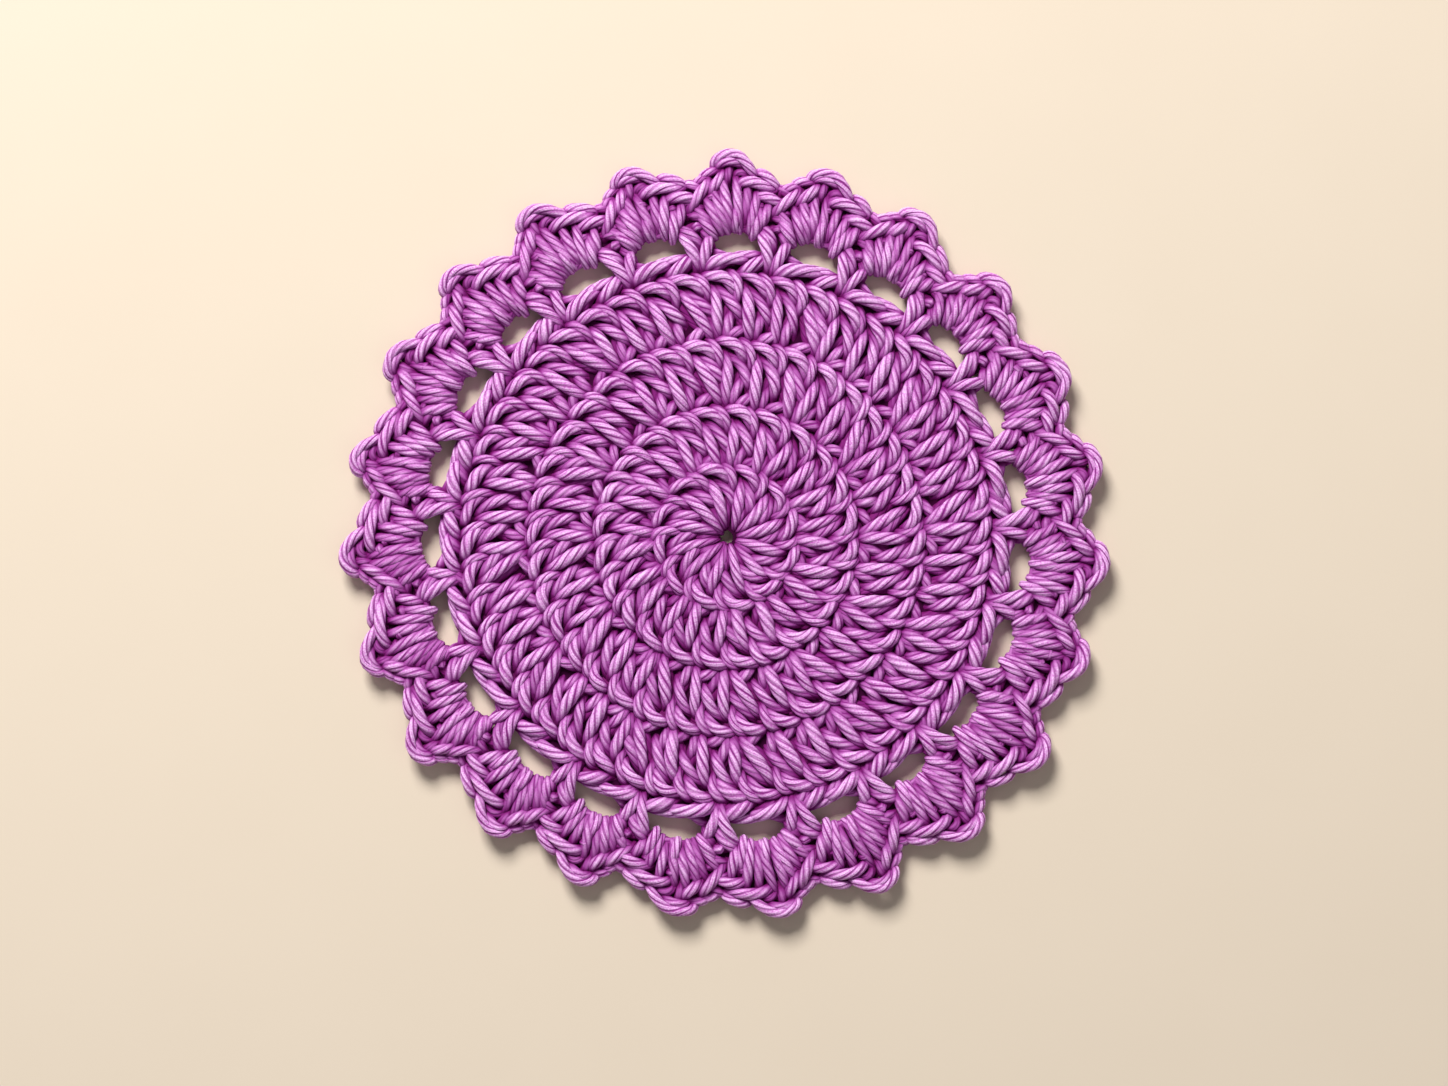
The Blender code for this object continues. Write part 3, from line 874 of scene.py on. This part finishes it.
@dataclass
class NookShade:
    """How deep each point of the yarn lies among its neighbours, where its colour is painted darker as
    shade.

    The height maps reach that far from the centre each way and are softened over the spread. The two
    depths are those of quite open yarn and of the deepest nook. All are in millimetres.
    """

    reach: float = 62.5
    cell: float = 0.5
    spread: float = 0.9
    open_depth: float = -0.80
    shut_depth: float = 0.75

    def cells(self, places: Array) -> tuple[Array, Array]:
        """Gives the row and column, with fractions, of each place on the height map."""
        return (places[:, 0] + self.reach) / self.cell, (places[:, 1] + self.reach) / self.cell

    def blurred(self, heights: Array) -> Array:
        """Softens a height map over the distance from one strand to the next.

        Args:
            heights: The height map.

        Returns:
            The softened map, of the same size.
        """
        window = bell(self.spread, self.cell)
        padded = np.pad(heights, len(window) // 2, mode="edge")
        rows = np.apply_along_axis(np.convolve, 0, padded, window, "valid")
        return np.apply_along_axis(np.convolve, 1, rows, window, "valid")

    def read(self, heights: Array, places: Array) -> Array:
        """Reads the height map between its cells.

        Args:
            heights: The height map.
            places: The places to read it at, in millimetres.

        Returns:
            The map's value at each place.
        """
        row, column = self.cells(places)
        row, column = row - 0.5, column - 0.5
        r0, c0 = np.floor(row).astype(int), np.floor(column).astype(int)
        fr, fc = row - r0, column - c0
        top = heights[r0, c0] * (1 - fc) + heights[r0, c0 + 1] * fc
        low = heights[r0 + 1, c0] * (1 - fc) + heights[r0 + 1, c0 + 1] * fc
        return top * (1 - fr) + low * fr

    def mark(self, pieces: list[bpy.types.Object]) -> None:
        """Stores on each point of each piece how deep it lies among its neighbours, from 0 to 1, for painted
        shade.

        Args:
            pieces: The pieces of yarn, which shade each other.
        """
        shapes = []
        for piece in pieces:
            flat = np.empty(len(piece.data.vertices) * 3, dtype=np.float32)
            piece.data.vertices.foreach_get("co", flat)
            shapes.append(flat.reshape(-1, 3).astype(float) / MM)
        every = np.vstack(shapes)
        count = round(2 * self.reach / self.cell)
        row, column = (part.astype(int) for part in self.cells(every))
        thickness = float(every[:, 2].max())
        upper = np.zeros((count, count))
        lower = np.full((count, count), thickness)
        np.maximum.at(upper, (row, column), every[:, 2])
        np.minimum.at(lower, (row, column), every[:, 2])
        upper, lower = self.blurred(upper), self.blurred(lower)
        for piece, places in zip(pieces, shapes):
            below = self.read(upper, places) - places[:, 2]
            above = places[:, 2] - self.read(lower, places)
            depth = (np.minimum(below, above) - self.open_depth) / (self.shut_depth - self.open_depth)
            stored = piece.data.attributes.new("nook", "FLOAT", "POINT")
            stored.data.foreach_set("value", depth.clip(0.0, 1.0).astype(np.float32))


@dataclass
class StitchRound:
    """One round of tall stitches.

    The heads stand evenly from the first one's angle. The feet's angles are those of the first group
    of stitches that share their places, and they come again round the coaster.
    """

    number: int
    stitches: int
    head_deg: float
    feet_deg: tuple[float, ...]
    foot_radius: float
    height: float
    seed: int

    def place(self, stitch: int, knot: Knot) -> Place:
        """Finds where one knot of one stitch lies.

        Args:
            stitch: The stitch's number, clockwise.
            knot: The knot, in the stitch's own measures.

        Returns:
            The place, in millimetres.
        """
        pitch = 360.0 / self.stitches
        group = len(self.feet_deg)
        head = self.head_deg + pitch * stitch
        turn = pitch * group * (stitch // group)
        foot = self.feet_deg[stitch % group] + turn
        degrees = head + (foot - head) * knot.pull + knot.across * pitch
        radius = max(self.foot_radius + knot.out * self.height, EYE_CLEARANCE)
        east, north, height = polar(radius, degrees, knot.height)
        return (east + EYE_OFFSET * (1.0 - eased(radius / ROUND_HEIGHT)), north, height)

    def width(self, knot: Knot) -> float:
        """Works out how wide the yarn lies at a knot, pressed thinner where the stitches crowd.

        Args:
            knot: The knot, in the stitch's own measures.

        Returns:
            The width, in millimetres.
        """
        radius = self.foot_radius + max(knot.out, 0.0) * self.height
        pitch = math.radians(360.0 / self.stitches) * radius
        hold = FRONT_HOLD if knot.height > FRONT_HEIGHT else BACK_HOLD
        return knot.width * YARN_WIDTH * min(1.0, pitch / FREE_PITCH) ** hold

    def line(self, layer: Layer) -> Centreline:
        """Draws the way of one layer's yarn through the whole round, worked from right to left.

        Args:
            layer: The layer.

        Returns:
            The way.
        """
        worked = [(stitch, layer.knots) for stitch in reversed(range(self.stitches))]
        line = Centreline()
        for stitch, knots in (*worked, (-1, layer.knots[:layer.closing])):
            for knot in knots:
                line.add(self.place(stitch, knot), self.width(knot))
        return line.loosened(np.random.default_rng(self.seed + layer.seed_step), layer.hand)

    def lines(self) -> list[Centreline]:
        """Gives all the round's lengths of yarn."""
        return [self.line(layer) for layer in LAYERS]


@dataclass
class Edging:
    """The round of chain arches and the border of scallops.

    The drawn points move out and in with each scallop's own point and valleys, from nothing at one
    radius to the whole of it a little further out.
    """

    seed: int = 23
    moved_from: float = 49.0
    moved_over: float = 5.0
    arch_hand: Hand = Hand(0.12, 0.06, 0.04)
    rim_hand: Hand = Hand(0.10, 0.06, 0.03)
    loop_hand: Hand = Hand(0.12, 0.08, 0.06)
    fan_hand: Hand = Hand(0.11, 0.07, 0.04)

    def spread(self, index: int, across: float) -> float:
        """Gives the true angle of a place that is measured on the usual scallop.

        Args:
            index: The scallop's number, clockwise.
            across: Degrees from its point, on the usual scallop.

        Returns:
            The angle in degrees. Past a post, the measure goes on at the next scallop's own rate.
        """
        here = SCALLOPS[index % len(SCALLOPS)]
        turns = 360.0 * (index // len(SCALLOPS))
        before = SCALLOPS[(index - 1) % len(SCALLOPS)]
        left_post = before.post_deg - (360.0 if before.post_deg > here.tip_deg else 0.0)
        if across < USUAL_LEFT_POST:
            return self.spread(index - 1, across - USUAL_LEFT_POST + USUAL.post_deg)
        if across > USUAL.post_deg:
            return self.spread(index + 1, across - USUAL.post_deg + USUAL_LEFT_POST)
        if across < 0.0:
            return turns + here.tip_deg + (left_post - here.tip_deg) * across / USUAL_LEFT_POST
        return turns + here.tip_deg + (here.post_deg - here.tip_deg) * across / USUAL.post_deg

    def grown(self, index: int, across: float, radius: float) -> float:
        """Gives the true radius: the edge follows each scallop's own point and valleys.

        Args:
            index: The scallop's number, clockwise.
            across: Degrees from its point, on the usual scallop.
            radius: The radius on the usual scallop.

        Returns:
            The radius in millimetres.
        """
        here = SCALLOPS[index % len(SCALLOPS)]
        before = SCALLOPS[(index - 1) % len(SCALLOPS)]
        low = before if across < 0.0 else here
        span = -USUAL_LEFT_POST if across < 0.0 else USUAL.post_deg
        share = eased(abs(across) / span)
        change = (here.tip_radius - USUAL.tip_radius) * (1.0 - share)
        change += (low.valley_radius - USUAL.valley_radius) * share
        return radius + change * eased((radius - self.moved_from) / self.moved_over)

    def edge(self, index: int, across: float) -> float:
        """Gives the radius of the scallop's edge, in millimetres, at that angle from its point."""
        rise = eased(1.0 - abs(across) / USUAL.post_deg)
        usual = USUAL.valley_radius + (USUAL.tip_radius - USUAL.valley_radius) * rise
        return self.grown(index, across, usual)

    def run(self, turns: tuple[Turn, ...], closing: int = 0) -> Centreline:
        """Draws yarn that repeats the same turns at every scallop.

        Args:
            turns: The turns, on the usual scallop.
            closing: How many of them come again at the end.

        Returns:
            The way of the yarn.
        """
        line = Centreline()
        for index in range(len(SCALLOPS)):
            for turn in turns:
                radius = self.grown(index, turn.across, turn.radius)
                place = polar(radius, self.spread(index, turn.across), turn.height)
                line.add(place, turn.width * YARN_WIDTH)
        for turn in turns[:closing]:
            line.add(polar(turn.radius, self.spread(0, turn.across), turn.height), turn.width * YARN_WIDTH)
        return line

    def arches(self) -> list[Centreline]:
        """Gives the chain arches with their posts, and the hidden chain under the wraps."""
        rng = np.random.default_rng(self.seed)
        return [self.run(ARCH, CLOSING).loosened(rng, self.arch_hand), self.run(ARCH_CORE, CLOSING)]

    def rim(self) -> list[Centreline]:
        """Gives the rim of chain stitches, and the small loops between it and the fans."""
        rng = np.random.default_rng(self.seed + 1)
        rim = self.run(RIM, CLOSING).loosened(rng, self.rim_hand)
        loops = self.run(tuple(turn for top in LOOP_TOPS for turn in over(top)))
        return [rim, loops.loosened(rng, self.loop_hand)]

    def fans(self) -> list[Centreline]:
        """Gives the wraps of every fan."""
        rng = np.random.default_rng(self.seed + 2)
        wraps = tuple(turn for wrap in WRAPS for turn in wrap.turns())
        return [self.run(wraps).loosened(rng, self.fan_hand)]


@dataclass
class Ground:
    """The matted yarn in the middle of the fabric, which lies hidden between front and back strands.
    Its near-black colour is painted shade, seen through the gaps between strands and in the eye.

    Radii are in millimetres. The shares divide the width of a scallop, and the ground has a gap in one
    band of it between two of them.
    """

    # The eye is kept small, so the dark ground shows there as painted shade
    eye_radius: float = 1.1
    round_radii: tuple[float, float] = (15.0, 30.0)
    gap_inner: float = 43.8
    gap_outer: float = 48.6
    edge_inset: float = 2.3
    shares: tuple[float, ...] = (0.0, 0.07, 0.2, 0.35, 0.5, 0.65, 0.8, 0.93)
    gap_shares: tuple[int, int] = (1, 7)
    gap_band: int = 3
    area_steps: int = 40
    edging: Edging = field(default_factory=Edging)
    # Near-black purple: painted shade, seen through the gaps between strands
    finish: Matt = Matt("inner_cotton", (0.055, 0.003, 0.040, 1.0), (0.025, 0.001, 0.018, 1.0), 0.9, 900.0)

    def rings(self) -> list[list[Place]]:
        """Gives the rings of points, from the eye to the edge.

        Returns:
            The rings, each with its points clockwise, in millimetres.
        """
        rows = []
        for index in range(len(SCALLOPS)):
            for share in self.shares:
                across = USUAL_LEFT_POST + share * USUAL_SPAN
                edge = self.edging.edge(index, across) - self.edge_inset
                radii = (self.eye_radius, *self.round_radii, self.gap_inner, self.gap_outer, edge)
                degrees = self.edging.spread(index, across)
                rows.append([polar(radius, degrees, GROUND_MIDDLE) for radius in radii])
        return [list(ring) for ring in zip(*rows)]

    def build(self, name: str) -> bpy.types.Object:
        """Makes the ground, with its gaps cut through.

        Args:
            name: The piece's name.

        Returns:
            The piece.
        """
        mesh = bmesh.new()
        rings = [[mesh.verts.new(Vector(p) * MM) for p in ring] for ring in self.rings()]
        count = len(rings[0])
        for band, (inner, outer) in enumerate(zip(rings, rings[1:])):
            for step in range(count):
                local = step % len(self.shares)
                if band == self.gap_band and self.gap_shares[0] <= local < self.gap_shares[1]:
                    continue
                after = (step + 1) % count
                mesh.faces.new((inner[step], outer[step], outer[after], inner[after]))
        bmesh.ops.recalc_face_normals(mesh, faces=mesh.faces)
        data = bpy.data.meshes.new(name)
        mesh.to_mesh(data)
        mesh.free()
        data.materials.append(self.finish.material())
        piece = placed(name, data)
        wall = piece.modifiers.new("wall", "SOLIDIFY")
        wall.thickness = GROUND_THICKNESS * MM
        wall.offset = 0.0
        return piece

    def area(self) -> float:
        """Works out the coaster's own flat area, out to its edge.

        Returns:
            The area in square metres.
        """
        total = 0.0
        half = 0.5 * USUAL_SPAN / self.area_steps
        for index in range(len(SCALLOPS)):
            for step in range(self.area_steps):
                across = USUAL_LEFT_POST + (step + 0.5) / self.area_steps * USUAL_SPAN
                left = self.edging.spread(index, across - half)
                right = self.edging.spread(index, across + half)
                total += 0.5 * self.edging.edge(index, across) ** 2 * math.radians((right - left) % 360.0)
        return total * MM * MM


class Lamp(NamedTuple):
    """A square soft light that points at the coaster, in metres and watts."""

    name: str
    place: Place
    side: float
    power: float
    colour: tuple[float, float, float]


@dataclass
class Studio:
    """The pale floor, the soft lights and the overhead camera. Lengths here are in metres."""

    floor_side: float = 6.0
    floor_drop: float = 0.0002
    floor_finish: Matt = Matt("pale_floor", (0.76, 0.66, 0.54, 1.0), (0.74, 0.64, 0.52, 1.0), 0.75, 40.0)
    lamps: tuple[Lamp, ...] = (
        Lamp("key_light", (-0.24, 0.62, 0.62), 0.34, 11.8, (1.0, 0.98, 0.95)),
        Lamp("fill_light", (0.5, -0.3, 0.9), 0.8, 0.8, (1.0, 0.98, 0.97)),
    )
    glow: Colour = (1.0, 0.98, 0.97, 1.0)
    glow_strength: float = 0.20
    target: tuple[float, float] = (-0.0003, -0.0009)
    lens: float = 85.0
    sensor: float = 36.0
    view_width: float = 0.2256
    view_height: float = 0.003

    def floor(self) -> None:
        """Adds the floor."""
        bpy.ops.mesh.primitive_plane_add(size=self.floor_side, location=(0.0, 0.0, -self.floor_drop))
        plane = bpy.context.object
        plane.name = "floor"
        plane.data.materials.append(self.floor_finish.material())

    def lights(self) -> None:
        """Adds the lights and the surrounding glow, shown as they are, without a film look."""
        for lamp in self.lamps:
            data = bpy.data.lights.new(lamp.name, "AREA")
            data.shape = "SQUARE"
            data.size = lamp.side
            data.energy = lamp.power
            data.color = lamp.colour
            made = placed(lamp.name, data)
            made.location = lamp.place
            made.rotation_euler = (-Vector(lamp.place)).to_track_quat("-Z", "Y").to_euler()
        world = bpy.data.worlds.new("studio")
        world.use_nodes = True
        backdrop = world.node_tree.nodes["Background"]
        backdrop.inputs["Color"].default_value = self.glow
        backdrop.inputs["Strength"].default_value = self.glow_strength
        bpy.context.scene.world = world
        bpy.context.scene.view_settings.view_transform = "Standard"

    def camera(self) -> None:
        """Adds the camera, straight above, with the photograph's framing at the yarn's height."""
        data = bpy.data.cameras.new("camera")
        data.lens = self.lens
        data.sensor_width = self.sensor
        made = placed("camera", data)
        made.location = (*self.target, self.view_width * self.lens / self.sensor + self.view_height)
        bpy.context.scene.camera = made


def main() -> None:
    logging.basicConfig(level=logging.INFO, format="%(message)s")
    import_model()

    studio = Studio()
    studio.camera()
    studio.lights()
    studio.floor()

    rounds = (
        StitchRound(1, 12, 24.0, (24.0,), 1.9, ROUND_HEIGHT - 0.65, 101),
        StitchRound(2, 24, 8.5, (4.3, 24.6), 10.4, ROUND_HEIGHT, 102),
        StitchRound(3, 36, 3.5, (0.9, 13.2, 28.2), 20.7, ROUND_HEIGHT, 103),
        StitchRound(4, 48, -0.4, (-1.6, 7.1, 15.5, 26.2), 31.1, ROUND_HEIGHT, 104),
    )
    sweep = YarnSweep(Cotton().material())
    strands = [sweep.spin(f"stitches_round_{r.number}", r.lines()) for r in rounds]
    edging = Edging()
    strands.append(sweep.spin("chain_arches", edging.arches()))
    strands.append(sweep.spin("scallop_fans", edging.fans()))
    strands.append(sweep.spin("scallop_rim", edging.rim()))
    # Painted shade: stores how deep each point of the yarn lies among its neighbours
    NookShade().mark(strands)

    ground = Ground()
    base = ground.build("ground")
    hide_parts("coaster")
    for piece in (base, *strands):
        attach(piece, "root")
        faces = sum(len(p.vertices) - 2 for p in piece.data.polygons)
        LOG.info("%s: %d triangles", piece.name, faces)
    LOG.info("yarn: %.2f m", sweep.length)
    ground.area()


if __name__ == "__main__":
    main()
